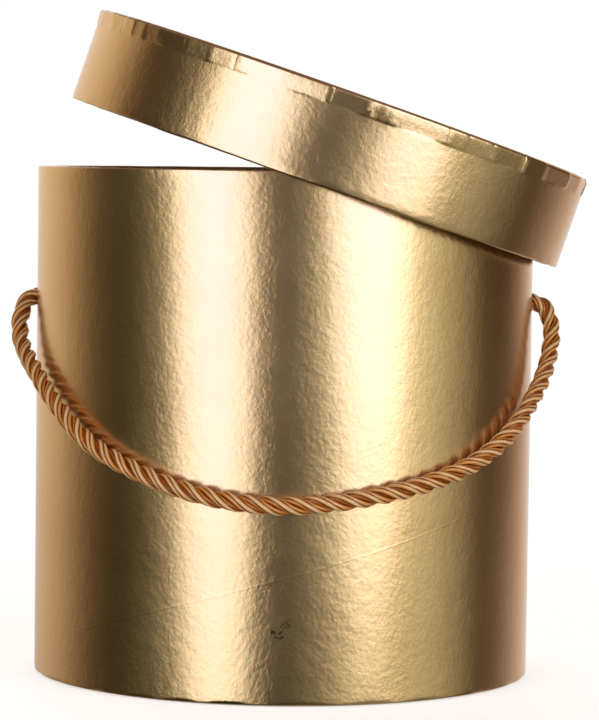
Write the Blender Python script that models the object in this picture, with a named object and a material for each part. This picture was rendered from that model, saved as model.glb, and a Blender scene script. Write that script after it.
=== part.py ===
"""Round flower gift box with a loose lid set askew and a twisted cord handle.

Lengths are in metres, +Z is up, and the origin is the middle of the underside.
The front, where the handle hangs, faces -Y.
"""
import math

import bmesh
import bpy
from mathutils import Matrix, Vector

# Driving dimensions of the whole box
BODY_RADIUS = 0.090
BOX_HEIGHT = 0.183
PAPER = 0.0002
GLUE_GAP = 0.00025
FACETS = 96

# Body: a rolled board tube with a board disc in its foot
TUBE_BOARD = 0.0016
BASE_BOARD = 0.002
FOLD_UNDER = 0.018
TURN_IN = 0.014
COVER_INSET = 0.003
FIT_GAP = 0.00025

# Lid: a board disc on a board ring, dressed in foil paper
LID_HEIGHT = 0.0336
LID_CLEARANCE = 0.0015
RING_BOARD = 0.0006
LID_BOARD = 0.0023
LID_TURN_IN = 0.012
LID_CORNER = 0.001
TAB_DROP = 0.0058
BAND_STEP = 0.0015
NOTCH_WIDTH = 0.0009
NOTCH_DEPTH = 0.0045
LID_TILT = math.radians(18.57)
REST_GAP = 0.0003

# Handle: one cord through two punched holes, with a knot at each end
CORD_RADIUS = 0.00325
HOLE_CLEARANCE = 0.001
HOLE_DROP = 0.047
KNOT_GAP = 0.0003
KNOT_LENGTH = 0.012
KNOT_RADIUS = 0.0082
KNOT_TAIL = 0.008
CORD_STEP = 0.005
CORD_STUB = 0.0008
CUT_OVERRUN = 0.005

# Radii and heights that follow from the layers
LAYER = PAPER + GLUE_GAP
TUBE_OUTER = BODY_RADIUS - LAYER
TUBE_INNER = TUBE_OUTER - TUBE_BOARD
LINING_OUTER = TUBE_INNER - GLUE_GAP
LINING_INNER = LINING_OUTER - PAPER
FLANGE_BOTTOM = LAYER
TUBE_BOTTOM = FLANGE_BOTTOM + LAYER
TUBE_TOP = BOX_HEIGHT - LAYER
TURN_IN_END = BOX_HEIGHT - TURN_IN
HOLE_HEIGHT = BOX_HEIGHT - HOLE_DROP
BASE_TOP = TUBE_BOTTOM + BASE_BOARD
FLOOR_BOTTOM = BASE_TOP + GLUE_GAP
FLOOR_TOP = FLOOR_BOTTOM + PAPER

LID_INNER = BODY_RADIUS + LID_CLEARANCE
RING_INNER = LID_INNER + LAYER
RING_OUTER = RING_INNER + RING_BOARD
BAND_OUTER = RING_OUTER + LAYER
TAB_INNER = RING_OUTER + GLUE_GAP
TAB_OUTER = TAB_INNER + PAPER
COVERED_OUTER = TAB_OUTER + LAYER
DISC_TOP = LID_HEIGHT - LAYER
DISC_BOTTOM = DISC_TOP - LID_BOARD
RING_TOP = DISC_BOTTOM - GLUE_GAP
LID_UNDERSIDE = RING_TOP - PAPER
TAB_END = LID_HEIGHT - TAB_DROP

# Widths of the lid cover's tabs round half the lid, against their mean
TAB_WIDTH_SHARES = (
    1.00, 0.91, 1.07, 0.87, 0.71, 0.60, 0.75, 0.93, 0.89, 0.92, 0.36, 0.93,
    1.67, 1.16, 0.48, 1.83, 0.69, 0.87, 1.32, 1.08, 1.45, 1.12, 1.15, 1.25,
)

# Profile of a knot: places along its body and radii, as shares of both
KNOT_PROFILE_SHARES = ((0, 0.60), (0.18, 0.86), (0.46, 1.00), (0.75, 0.90), (0.97, 0.52))

# Route of the handle's middle line, from the left knot to the right one, with its
# heights counted from the punched holes
CORD_ROUTE = (
    (-0.0880, 0.0000, 0.0000),
    (-0.0903, -0.0002, -0.0001),
    (-0.0934, -0.0016, -0.0019),
    (-0.0956, -0.0054, -0.0072),
    (-0.0952, -0.0122, -0.0149),
    (-0.0920, -0.0226, -0.0212),
    (-0.0870, -0.0352, -0.0276),
    (-0.0816, -0.0464, -0.0342),
    (-0.0750, -0.0565, -0.0415),
    (-0.0660, -0.0668, -0.0490),
    (-0.0525, -0.0778, -0.0558),
    (-0.0355, -0.0869, -0.0618),
    (-0.0180, -0.0922, -0.0654),
    (0.0000, -0.0939, -0.0666),
    (0.0180, -0.0922, -0.0654),
    (0.0365, -0.0865, -0.0626),
    (0.0530, -0.0775, -0.0587),
    (0.0655, -0.0673, -0.0540),
    (0.0750, -0.0565, -0.0482),
    (0.0825, -0.0449, -0.0413),
    (0.0882, -0.0328, -0.0342),
    (0.0928, -0.0218, -0.0268),
    (0.0961, -0.0118, -0.0178),
    (0.0969, -0.0046, -0.0086),
    (0.0942, -0.0012, -0.0020),
    (0.0903, -0.0001, -0.0001),
    (0.0880, 0.0000, 0.0000),
)

for old in list(bpy.data.objects):
    bpy.data.objects.remove(old, do_unlink=True)


def material(name, colour, roughness, metallic=0.0):
    """A plain Principled material in the piece's own colour."""
    made = bpy.data.materials.new(name)
    made.use_nodes = True
    shader = made.node_tree.nodes["Principled BSDF"]
    shader.inputs["Base Color"].default_value = (*colour, 1.0)
    shader.inputs["Roughness"].default_value = roughness
    shader.inputs["Metallic"].default_value = metallic
    made.diffuse_color = (*colour, 1.0)
    return made


def foil(piece):
    return material(piece + "_foil_paper", (0.62, 0.40, 0.23), 0.26, 1.0)


def board(piece):
    return material(piece + "_greyboard", (0.33, 0.29, 0.24), 0.85)


def lining(piece):
    return material(piece + "_lining_paper", (0.83, 0.79, 0.71), 0.75)


def cord_satin(piece):
    return material(piece + "_satin_cord", (0.60, 0.33, 0.15), 0.42)


def add_object(name, mesh_or_curve, finish, parent=None):
    """Links the data as one named piece, and seats it under its parent."""
    mesh_or_curve.materials.append(finish)
    piece = bpy.data.objects.new(name, mesh_or_curve)
    bpy.context.collection.objects.link(piece)
    piece.parent = parent
    return piece


def turned(name, profile, finish, parent=None, axis=(0, 0, 1)):
    """Spins a profile of radii and heights once round an axis through the parent."""
    axis = Vector(axis)
    across = Vector((1, 0, 0)) if abs(axis.x) < 0.5 else Vector((0, 0, 1))
    shape = bmesh.new()
    corners = [shape.verts.new(across * radius + axis * height) for radius, height in profile]
    on_axis = profile[0][0] == 0 and profile[-1][0] == 0
    edges = [shape.edges.new(pair) for pair in zip(corners, corners[1:])]
    if not on_axis:
        edges.append(shape.edges.new((corners[-1], corners[0])))
    bmesh.ops.spin(
        shape, geom=corners + edges, cent=(0, 0, 0), axis=axis,
        angle=math.tau, steps=FACETS if axis.z else FACETS // 6, use_merge=True,
    )
    bmesh.ops.remove_doubles(shape, verts=shape.verts[:], dist=PAPER / 20)
    bmesh.ops.recalc_face_normals(shape, faces=shape.faces[:])
    mesh = bpy.data.meshes.new(name)
    shape.to_mesh(mesh)
    shape.free()
    mesh.shade_smooth()
    mesh.set_sharp_from_angle(angle=math.radians(30))
    return add_object(name, mesh, finish, parent)


def disc(name, radius, bottom, top, finish, parent=None):
    """A flat round sheet or board."""
    return turned(name, [(0, bottom), (radius, bottom), (radius, top), (0, top)], finish, parent)


def ring(name, inner, outer, bottom, top, finish, parent=None):
    """A straight band or tube wall."""
    profile = [(inner, bottom), (outer, bottom), (outer, top), (inner, top)]
    return turned(name, profile, finish, parent)


def cut(piece, cutter):
    """Takes the cutter's shape out of the piece."""
    modifier = piece.modifiers.new("cut_" + cutter.name, "BOOLEAN")
    modifier.operation = "DIFFERENCE"
    modifier.solver = "EXACT"
    modifier.object = cutter
    cutter.hide_render = True
    cutter.display_type = "WIRE"


# The body's board tube, with the punched holes of the handle
body_tube = ring("body_tube", TUBE_INNER, TUBE_OUTER, TUBE_BOTTOM, TUBE_TOP, board("tube"))

# The foil paper round the tube, turned in over the rim and folded under the foot
fold_inner = BODY_RADIUS - FOLD_UNDER
body_wrap = turned(
    "body_wrap",
    [
        (fold_inner, FLANGE_BOTTOM),
        (BODY_RADIUS, FLANGE_BOTTOM),
        (BODY_RADIUS, BOX_HEIGHT),
        (LINING_INNER, BOX_HEIGHT),
        (LINING_INNER, TURN_IN_END),
        (LINING_OUTER, TURN_IN_END),
        (LINING_OUTER, BOX_HEIGHT - PAPER),
        (BODY_RADIUS - PAPER, BOX_HEIGHT - PAPER),
        (BODY_RADIUS - PAPER, FLANGE_BOTTOM + PAPER),
        (fold_inner, FLANGE_BOTTOM + PAPER),
    ],
    foil("body"),
)

# The inside paper, from the floor up to the turned-in foil
body_lining = ring(
    "body_lining", LINING_INNER, LINING_OUTER, FLOOR_BOTTOM, TURN_IN_END - GLUE_GAP,
    lining("body"),
)

# The foot: board disc, floor paper inside and cover paper underneath
base_disc = disc("base_disc", TUBE_INNER - FIT_GAP, TUBE_BOTTOM, BASE_TOP, board("base"))
floor_paper = disc(
    "floor_paper", LINING_INNER - FIT_GAP, FLOOR_BOTTOM, FLOOR_TOP, lining("floor")
)
base_cover = disc("base_cover", BODY_RADIUS - COVER_INSET, 0, PAPER, lining("base_cover"))

# One long pin cuts both punched holes through the three layers of the wall
bpy.ops.mesh.primitive_cylinder_add(
    vertices=FACETS // 4,
    radius=CORD_RADIUS + HOLE_CLEARANCE,
    depth=2 * (BODY_RADIUS + CUT_OVERRUN),
    location=(0, 0, HOLE_HEIGHT),
    rotation=(0, math.pi / 2, 0),
)
hole_pin = bpy.context.object
hole_pin.name = "hole_pin"
for layer in (body_tube, body_wrap, body_lining):
    cut(layer, hole_pin)

# The lid leans on the rim: the rim's right corner meets the lid's underside,
# and the lid's lower edge sits across the rim at the front and the back
crossing = BODY_RADIUS - (LID_UNDERSIDE - REST_GAP) / math.sin(LID_TILT)
seat_radius = BODY_RADIUS + REST_GAP
along_lid = math.sqrt(crossing**2 + LID_INNER**2 - seat_radius**2)
lid_place = Vector((
    crossing + along_lid * math.cos(LID_TILT),
    0,
    BOX_HEIGHT - along_lid * math.sin(LID_TILT),
))
lid_seat = bpy.data.objects.new("lid_seat", None)
bpy.context.collection.objects.link(lid_seat)
lid_seat.location = lid_place
lid_seat.rotation_euler = (0, LID_TILT, 0)

# The lid's boards
lid_ring = ring("lid_ring", RING_INNER, RING_OUTER, LAYER, RING_TOP, board("ring"), lid_seat)
lid_disc = disc(
    "lid_disc", RING_OUTER - GLUE_GAP, DISC_BOTTOM, DISC_TOP, board("lid"), lid_seat
)

# The foil band round the lid's side, turned in round its lower edge, and stepping
# out near its top, where it covers the tabs of the top's foil cover
band_top = LID_HEIGHT - LID_CORNER
step_top = TAB_END - GLUE_GAP
step_bottom = step_top - BAND_STEP
lid_band = turned(
    "lid_band",
    [
        (LID_INNER, 0),
        (BAND_OUTER, 0),
        (BAND_OUTER, step_bottom),
        (COVERED_OUTER, step_top),
        (COVERED_OUTER, band_top),
        (COVERED_OUTER - PAPER, band_top),
        (COVERED_OUTER - PAPER, step_top),
        (BAND_OUTER - PAPER, step_bottom),
        (BAND_OUTER - PAPER, PAPER),
        (LID_INNER + PAPER, PAPER),
        (LID_INNER + PAPER, LID_TURN_IN),
        (LID_INNER, LID_TURN_IN),
    ],
    foil("lid_band"), lid_seat,
)

# Inside papers of the lid
lid_ring_lining = ring(
    "lid_ring_lining", LID_INNER, LID_INNER + PAPER, LID_TURN_IN + GLUE_GAP, RING_TOP,
    lining("lid_ring"), lid_seat,
)
lid_disc_lining = disc(
    "lid_disc_lining", LID_INNER - FIT_GAP, LID_UNDERSIDE, RING_TOP, lining("lid_disc"), lid_seat
)

# The foil cover of the lid's top, with its edge cut into tabs and glued down on the ring
half_corner = LID_CORNER * (1 - math.cos(math.pi / 4))
inner_corner = LID_CORNER - PAPER
half_inner = PAPER + inner_corner * (1 - math.cos(math.pi / 4))
lid_top_paper = turned(
    "lid_top_paper",
    [
        (0, LID_HEIGHT),
        (TAB_OUTER - LID_CORNER, LID_HEIGHT),
        (TAB_OUTER - half_corner, LID_HEIGHT - half_corner),
        (TAB_OUTER, LID_HEIGHT - LID_CORNER),
        (TAB_OUTER, TAB_END),
        (TAB_INNER, TAB_END),
        (TAB_INNER, LID_HEIGHT - LID_CORNER),
        (TAB_OUTER - half_inner, LID_HEIGHT - half_inner),
        (TAB_OUTER - LID_CORNER, LID_HEIGHT - PAPER),
        (0, LID_HEIGHT - PAPER),
    ],
    foil("lid_top"), lid_seat,
)


def notch_angles():
    """Angles of the borders between tabs, from the lid's left side round the front."""
    total = sum(TAB_WIDTH_SHARES)
    angle = math.pi
    angles = []
    for half in range(2):
        for share in TAB_WIDTH_SHARES:
            angles.append(angle)
            angle += math.pi * share / total
    return angles


# All notches are thin upright wedges in one cutter, apex upwards
wedges = bmesh.new()
notch_floor = TAB_END - CUT_OVERRUN
notch_inside = TAB_INNER - GLUE_GAP
notch_outside = TAB_OUTER + CUT_OVERRUN
apex = TAB_END + NOTCH_DEPTH
half_notch = NOTCH_WIDTH / 2 * (apex - notch_floor) / NOTCH_DEPTH
for angle in notch_angles():
    turn = Matrix.Rotation(angle, 3, "Z")
    ends = []
    for reach in (notch_inside, notch_outside):
        corners = ((reach, -half_notch, notch_floor), (reach, half_notch, notch_floor), (reach, 0, apex))
        ends.append([wedges.verts.new(turn @ Vector(corner)) for corner in corners])
    near, far = ends
    wedges.faces.new(near)
    wedges.faces.new(reversed(far))
    for first, second in ((0, 1), (1, 2), (2, 0)):
        wedges.faces.new((near[second], near[first], far[first], far[second]))
bmesh.ops.recalc_face_normals(wedges, faces=wedges.faces[:])
notch_mesh = bpy.data.meshes.new("notch_wedges")
wedges.to_mesh(notch_mesh)
wedges.free()
notch_wedges = bpy.data.objects.new("notch_wedges", notch_mesh)
bpy.context.collection.objects.link(notch_wedges)
notch_wedges.parent = lid_seat
cut(lid_top_paper, notch_wedges)

# The handle turns about the line through both holes
handle_pivot = bpy.data.objects.new("handle_pivot", None)
bpy.context.collection.objects.link(handle_pivot)
handle_pivot.location = (0, 0, HOLE_HEIGHT)


def smooth_line(route, step):
    """Points every step along a smooth curve through the route."""
    stations = [Vector(point) for point in route]
    spans = [(b - a).length for a, b in zip(stations, stations[1:])]
    straight_out = Vector((-1, 0, 0))
    slopes = [straight_out]
    for index in range(1, len(stations) - 1):
        before = (stations[index] - stations[index - 1]) / spans[index - 1]
        after = (stations[index + 1] - stations[index]) / spans[index]
        weight = spans[index] / (spans[index - 1] + spans[index])
        slopes.append(before * weight + after * (1 - weight))
    slopes.append(straight_out)
    fine = []
    pieces = 12
    for index, span in enumerate(spans):
        for part in range(pieces):
            t = part / pieces
            fine.append(
                stations[index] * (2 * t**3 - 3 * t**2 + 1)
                + slopes[index] * span * (t**3 - 2 * t**2 + t)
                + stations[index + 1] * (3 * t**2 - 2 * t**3)
                + slopes[index + 1] * span * (t**3 - t**2)
            )
    fine.append(stations[-1])
    travelled = [0]
    for a, b in zip(fine, fine[1:]):
        travelled.append(travelled[-1] + (b - a).length)
    count = round(travelled[-1] / step)
    line = []
    at = 0
    for number in range(count + 1):
        target = travelled[-1] * number / count
        while at < len(fine) - 2 and travelled[at + 1] < target:
            at += 1
        share = (target - travelled[at]) / (travelled[at + 1] - travelled[at])
        line.append(fine[at].lerp(fine[at + 1], min(share, 1)))
    return line


# The cord itself, a plain tube along its real route, square to its knots
stub = Vector((CORD_STUB, 0, 0))
first, last = Vector(CORD_ROUTE[0]), Vector(CORD_ROUTE[-1])
curve = bpy.data.curves.new("rope_handle", "CURVE")
curve.dimensions = "3D"
curve.bevel_depth = CORD_RADIUS
curve.bevel_resolution = 4
curve.use_fill_caps = True
line = [first + stub, *smooth_line(CORD_ROUTE, CORD_STEP), last - stub]
spline = curve.splines.new("POLY")
spline.points.add(len(line) - 1)
for point, place in zip(spline.points, line):
    point.co = (*place, 1)
rope_handle = add_object("rope_handle", curve, cord_satin("rope"), handle_pivot)

# A knot inside each hole, with its short tail, keeps the cord from pulling out
for side, name, end in ((-1, "knot_left", line[0]), (1, "knot_right", line[-1])):
    face = abs(end.x) - KNOT_GAP
    profile = [(0, side * face)]
    for along_share, radius_share in KNOT_PROFILE_SHARES:
        place = side * (face - KNOT_LENGTH * along_share)
        profile.append((KNOT_RADIUS * radius_share, place))
    tail = side * (face - KNOT_LENGTH - KNOT_TAIL)
    profile.append((CORD_RADIUS, side * (face - KNOT_LENGTH)))
    profile.append((CORD_RADIUS, tail))
    profile.append((0, tail))
    turned(name, profile, cord_satin(name), handle_pivot, axis=(1, 0, 0))
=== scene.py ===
import math

import bpy
import numpy as np
from mathutils import Matrix, Vector, noise


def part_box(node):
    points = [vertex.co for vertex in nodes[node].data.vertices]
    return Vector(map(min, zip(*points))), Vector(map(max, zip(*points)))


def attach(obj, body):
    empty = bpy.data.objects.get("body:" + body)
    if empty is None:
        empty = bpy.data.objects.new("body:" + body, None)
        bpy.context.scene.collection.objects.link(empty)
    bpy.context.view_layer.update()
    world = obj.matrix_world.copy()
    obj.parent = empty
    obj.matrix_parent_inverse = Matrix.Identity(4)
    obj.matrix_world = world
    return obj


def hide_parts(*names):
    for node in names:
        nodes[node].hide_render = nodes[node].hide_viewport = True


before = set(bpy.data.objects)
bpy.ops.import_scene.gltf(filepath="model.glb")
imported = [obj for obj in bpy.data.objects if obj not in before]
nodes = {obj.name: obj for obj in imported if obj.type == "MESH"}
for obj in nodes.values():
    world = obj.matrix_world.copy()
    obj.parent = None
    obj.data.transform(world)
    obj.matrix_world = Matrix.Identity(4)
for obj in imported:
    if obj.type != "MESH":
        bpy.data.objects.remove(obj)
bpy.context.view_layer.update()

# The boards: rolled greyboard tube and foot disc of the body, ring and disc of the lid.
# Pressed grey-brown pulp from waste paper, cut and glued, with no finish of its own.
# It shows only in the punched holes, so the CAD shapes stay and take its material.


def linear(hex_colour):
    """An sRGB hex colour as linear RGBA."""
    channels = [int(hex_colour[i:i + 2], 16) / 255 for i in (1, 3, 5)]
    return (*(c / 12.92 if c <= 0.04045 else ((c + 0.055) / 1.055) ** 2.4 for c in channels), 1)


def add_node(material, kind, inputs=None, stops=(), **settings):
    """Adds a node: settings are its options, and inputs are socket values or links.

    Stops are the places and hex colours along a colour ramp, which starts with two.
    """
    made = material.node_tree.nodes.new("ShaderNode" + kind)
    for option, value in settings.items():
        setattr(made, option, value)
    for socket, value in (inputs or {}).items():
        if isinstance(value, bpy.types.NodeSocket):
            material.node_tree.links.new(value, made.inputs[socket])
        else:
            made.inputs[socket].default_value = value
    for _ in stops[2:]:
        made.color_ramp.elements.new(0.5)
    for index, (place, colour) in enumerate(stops):
        made.color_ramp.elements[index].position = place
        made.color_ramp.elements[index].color = linear(colour)
    return made


def new_material(name):
    """A material with no nodes yet."""
    material = bpy.data.materials.new(name)
    material.use_nodes = True
    material.node_tree.nodes.clear()
    return material


def greyboard():
    """Pressed waste-paper board: matt, grey-brown, with dark specks and short pale fibres."""
    material = new_material("greyboard")
    place = add_node(material, "TexCoord").outputs["Object"]
    turned = add_node(material, "Mapping", {"Vector": place, "Rotation": (0.4, 0.2, 0.9)})
    speck_size = 0.0012
    specks = add_node(
        material, "TexVoronoi", {"Vector": turned.outputs["Vector"], "Scale": 1 / speck_size}
    )
    speck_tone = add_node(
        material, "ValToRGB", {"Fac": specks.outputs["Distance"]},
        stops=[(0.06, "#5C5348"), (0.16, "#9A8F80"), (1.0, "#A89D8D")],
    )
    fibre_size = 0.003
    fibres = add_node(
        material, "TexNoise",
        {"Vector": turned.outputs["Vector"], "Scale": 1 / fibre_size, "Detail": 6,
         "Roughness": 0.7, "Distortion": 1.5},
    )
    tone = add_node(
        material, "Mix",
        {0: 0.35, 6: speck_tone.outputs["Color"], 7: fibres.outputs["Color"]},
        data_type="RGBA", blend_type="SOFT_LIGHT",
    )
    relief = add_node(
        material, "Bump",
        {"Strength": 0.5, "Distance": 0.00008, "Height": fibres.outputs["Fac"]},
    )
    shader = add_node(
        material, "BsdfPrincipled",
        {"Base Color": tone.outputs[2], "Roughness": 0.9, "Normal": relief.outputs["Normal"]},
    )
    add_node(material, "OutputMaterial", {"Surface": shader.outputs["BSDF"]})
    return material


board_material = greyboard()
for board in ("body_tube", "base_disc", "lid_ring", "lid_disc"):
    nodes[board].data.materials.clear()
    nodes[board].data.materials.append(board_material)

# The body's foil wrap: champagne-gold foil paper rolled round the tube and glued, its
# ends lapped at the back. It turns in over the rim, and its lower edge is folded under
# the foot in pleats that leave the edge a many-sided line. The cord's holes are punched.
paper_thickness = 0.0002
body_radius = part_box("body_wrap")[1].x
box_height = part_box("body_wrap")[1].z
flange_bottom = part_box("body_wrap")[0].z
fold_under = 0.018
turn_in = 0.014
lining_inner = 0.0875
rim_fold = 0.0007
foot_fold = 0.0005
fold_parts = 5
under_step, wall_step, rim_step, turn_in_step = 0.004, 0.0024, 0.0004, 0.0028
outer_depth, inner_depth = 0.0006, 0.0003
wave_reach, wave_blend = 0.003, 0.002
hole_radius = 0.00425
hole_height = (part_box("knot_left")[0].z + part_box("knot_left")[1].z) / 2
punch_depth = 0.02

# The sheets' laps are at the back. Their far ends rise over the near ones in a short turn.
back = math.pi / 2
lap_length = 0.008
lap_angle = lap_length / body_radius
lap_lift = 0.00022
lap_start = math.tau - 0.035
lap_ramp, lap_approach = 0.03, 0.02
wall_columns, lap_columns = 240, 9

# Each pleat under the foot is drawn in by a share of what a flat side would be
pleats = 26
pleat_share = 0.9
pleat_height = 0.0013
pleat_lift = 0.00016
pleat_rows = (0.0008, 0.0011, 0.0015)


def folded_line(corners, folds, steps):
    """Points along a line of radii and heights, with a round fold at each inner corner."""
    corners = [np.array(corner, float) for corner in corners]
    points = [corners[0]]
    for index in range(1, len(corners)):
        end = corners[index]
        if index < len(corners) - 1:
            onward = corners[index + 1] - end
            onward /= np.linalg.norm(onward)
            toward = points[-1] - end
            toward /= np.linalg.norm(toward)
            fold = folds[index - 1]
            turn = math.acos(np.clip(toward @ onward, -1, 1))
            cut = fold / math.tan(turn / 2)
            entry, leave = end + toward * cut, end + onward * cut
        else:
            entry, leave = end, None
        count = max(1, round(np.linalg.norm(entry - points[-1]) / steps[index - 1]))
        points.extend(np.linspace(points[-1], entry, count + 1)[1:])
        if leave is None:
            continue
        middle = end + (toward + onward) / np.linalg.norm(toward + onward) * (
            fold / math.sin(turn / 2)
        )
        first, last = entry - middle, leave - middle
        sweep = math.pi - turn
        for part in np.linspace(0, 1, fold_parts + 1)[1:]:
            mixed = (
                first * math.sin((1 - part) * sweep) + last * math.sin(part * sweep)
            ) / math.sin(sweep)
            points.append(middle + mixed)
    return np.array(points)


def travelled_along(line):
    """How far along the line each of its points lies."""
    return np.concatenate([[0], np.cumsum(np.linalg.norm(np.diff(line, axis=0), axis=1))])


def paper_sheet(name, line, angles, flat_radius=None):
    """A grid for a rolled sheet: its rows follow the line, its columns the angles.

    Its UV map is the flat sheet in metres: a strip where a flat radius is given, and
    otherwise a disc. Returns the piece and its points' angles, radii and heights.
    """
    bpy.ops.object.select_all(action="DESELECT")
    columns, rows = len(angles) - 1, len(line) - 1
    bpy.ops.mesh.primitive_grid_add(x_subdivisions=columns, y_subdivisions=rows, size=2)
    sheet = bpy.context.object
    sheet.name = name
    sheet.data.name = name
    flat = np.zeros(len(sheet.data.vertices) * 3)
    sheet.data.vertices.foreach_get("co", flat)
    flat = flat.reshape(-1, 3)
    column = np.rint((flat[:, 0] + 1) / 2 * columns).astype(int)
    row = np.rint((flat[:, 1] + 1) / 2 * rows).astype(int)
    travelled = travelled_along(line)
    angle = np.asarray(angles)[column]
    if flat_radius is None:
        across, along = travelled[row] * np.cos(angle), travelled[row] * np.sin(angle)
    else:
        across, along = angle * flat_radius, travelled[row]
    corners = np.zeros(len(sheet.data.loops), int)
    sheet.data.loops.foreach_get("vertex_index", corners)
    layer = sheet.data.uv_layers[0].data
    layer.foreach_set("uv", np.stack([across, along], 1)[corners].ravel())
    return sheet, angle, line[row, 0].copy(), line[row, 1].copy()


def place_points(sheet, angle, radius, height, seat=None):
    """Puts the sheet's points in place, in the frame of its seat."""
    points = np.stack([radius * np.cos(angle), radius * np.sin(angle), height], 1)
    sheet.data.vertices.foreach_set("co", points.ravel())
    if seat is not None:
        sheet.data.transform(seat)
    sheet.data.update()


def finish_sheet(sheet):
    """Closes seams and poles, gives the paper its thickness, and shades it smooth."""
    bpy.ops.object.select_all(action="DESELECT")
    sheet.select_set(True)
    bpy.context.view_layer.objects.active = sheet
    bpy.ops.object.mode_set(mode="EDIT")
    bpy.ops.mesh.select_all(action="SELECT")
    bpy.ops.mesh.remove_doubles(threshold=0.000002)
    bpy.ops.object.mode_set(mode="OBJECT")
    wall = sheet.modifiers.new("wall", "SOLIDIFY")
    wall.thickness = paper_thickness
    wall.offset = -1
    bpy.ops.object.modifier_apply(modifier=wall.name)
    bpy.ops.object.shade_smooth_by_angle(angle=math.radians(35))


def ripple(points, size, seed):
    """Smooth noise from -1 to 1 at each point, with features of that size."""
    shift = Vector((seed, seed * 1.7, seed * 0.3))
    return np.array([noise.noise(Vector(point) / size + shift) for point in points])


def unevenness(angle, radius, height, *layers):
    """Sum of ripples at a sheet's points, each with its depth, its size and its seed."""
    points = np.stack([radius * np.cos(angle), radius * np.sin(angle), height], 1)
    return sum(depth * ripple(points, size, seed) for depth, size, seed in layers)


def smooth_step(value):
    """Goes from 0 to 1 with soft ends, and stays there past them."""
    value = np.clip(value, 0, 1)
    return value * value * (3 - 2 * value)


def lap_rise(turned):
    """How far the lapped end of a sheet stands off, after that turn from its near end."""
    return smooth_step((turned - lap_start) / lap_ramp) * lap_lift


def foil_mark(material, flat, start, end, width):
    """Height of one fine crease or scratch, from start to end on the flat sheet."""
    run = Vector(end) - Vector(start)
    beside = add_node(
        material, "Mapping",
        {"Vector": flat, "Location": (*start, 0), "Rotation": (0, 0, math.atan2(run.y, run.x))},
        vector_type="TEXTURE",
    )
    split = add_node(material, "SeparateXYZ", {"Vector": beside.outputs["Vector"]})
    off_line = add_node(material, "Math", {0: split.outputs["Y"]}, operation="ABSOLUTE")
    from_start = add_node(
        material, "Math", {0: split.outputs["X"], 1: run.length / 2}, operation="SUBTRACT"
    )
    off_middle = add_node(material, "Math", {0: from_start.outputs["Value"]}, operation="ABSOLUTE")
    ridge = add_node(
        material, "MapRange",
        {"Value": off_line.outputs["Value"], "From Max": width, "To Min": 1, "To Max": 0},
        interpolation_type="SMOOTHSTEP",
    )
    fade = add_node(
        material, "MapRange",
        {"Value": off_middle.outputs["Value"], "From Min": run.length * 0.4,
         "From Max": run.length / 2, "To Min": 1, "To Max": 0},
    )
    return add_node(
        material, "Math", {0: ridge.outputs["Result"], 1: fade.outputs["Result"]},
        operation="MULTIPLY",
    ).outputs["Value"]


def foil_paper(name, marks, scuffs=()):
    """Champagne-gold metallised paper: a thin metal film on paper, under clear lacquer.

    The metal gives a soft mirror in gold. The paper's tooth presses through it as fine
    dimples over gentle swells, so the edges of every reflection are ragged, and the
    lacquer lays a pale gloss over the gold. Marks are creases and scratches, each with
    its start, end, width and depth. Scuffs are dark strokes where the film is rubbed.
    """
    material = new_material(name)
    flat = add_node(material, "TexCoord").outputs["UV"]
    dimple_size, swell_size, cloud_size = 0.0014, 0.0042, 0.03
    slanted = add_node(
        material, "Mapping", {"Vector": flat, "Rotation": (0, 0, 0.5), "Scale": (1.0, 0.85, 1.0)}
    )
    dimples = add_node(
        material, "TexNoise",
        {"Vector": slanted.outputs["Vector"], "Scale": 1 / dimple_size, "Detail": 2.0,
         "Roughness": 0.6},
    )
    swells = add_node(
        material, "TexNoise",
        {"Vector": slanted.outputs["Vector"], "Scale": 1 / swell_size, "Detail": 1.0,
         "Roughness": 0.5},
    )
    swell_relief = add_node(
        material, "Bump", {"Strength": 1.0, "Distance": 0.0001, "Height": swells.outputs["Fac"]}
    )
    fine_relief = add_node(
        material, "Bump",
        {"Strength": 1.0, "Distance": 0.00009, "Height": dimples.outputs["Fac"],
         "Normal": swell_relief.outputs["Normal"]},
    )
    surface = fine_relief.outputs["Normal"]
    for start, end, width, depth in marks:
        mark = foil_mark(material, flat, start, end, width)
        surface = add_node(
            material, "Bump",
            {"Strength": 1.0, "Distance": depth, "Height": mark, "Normal": surface},
        ).outputs["Normal"]
    cloud = add_node(
        material, "TexNoise",
        {"Vector": flat, "Scale": 1 / cloud_size, "Detail": 4.0, "Roughness": 0.6},
    )
    colour = add_node(
        material, "ValToRGB", {"Fac": cloud.outputs["Fac"]},
        stops=[(0.35, "#E3C191"), (0.65, "#E9CA9A")],
    ).outputs["Color"]
    for start, end, width in scuffs:
        scuff = foil_mark(material, flat, start, end, width)
        colour = add_node(
            material, "Mix", {0: scuff, 6: colour, 7: linear("#6A4A34")}, data_type="RGBA"
        ).outputs[2]
    gloss = add_node(
        material, "MapRange",
        {"Value": cloud.outputs["Fac"], "From Min": 0.3, "From Max": 0.7,
         "To Min": 0.28, "To Max": 0.30},
    )
    shader = add_node(
        material, "BsdfPrincipled",
        {"Base Color": colour, "Metallic": 1.0, "Roughness": gloss.outputs["Result"],
         "Coat Weight": 1.0, "Coat Roughness": 0.19, "Coat IOR": 2.3, "Normal": surface},
    )
    add_node(material, "OutputMaterial", {"Surface": shader.outputs["BSDF"]})
    return material


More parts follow.
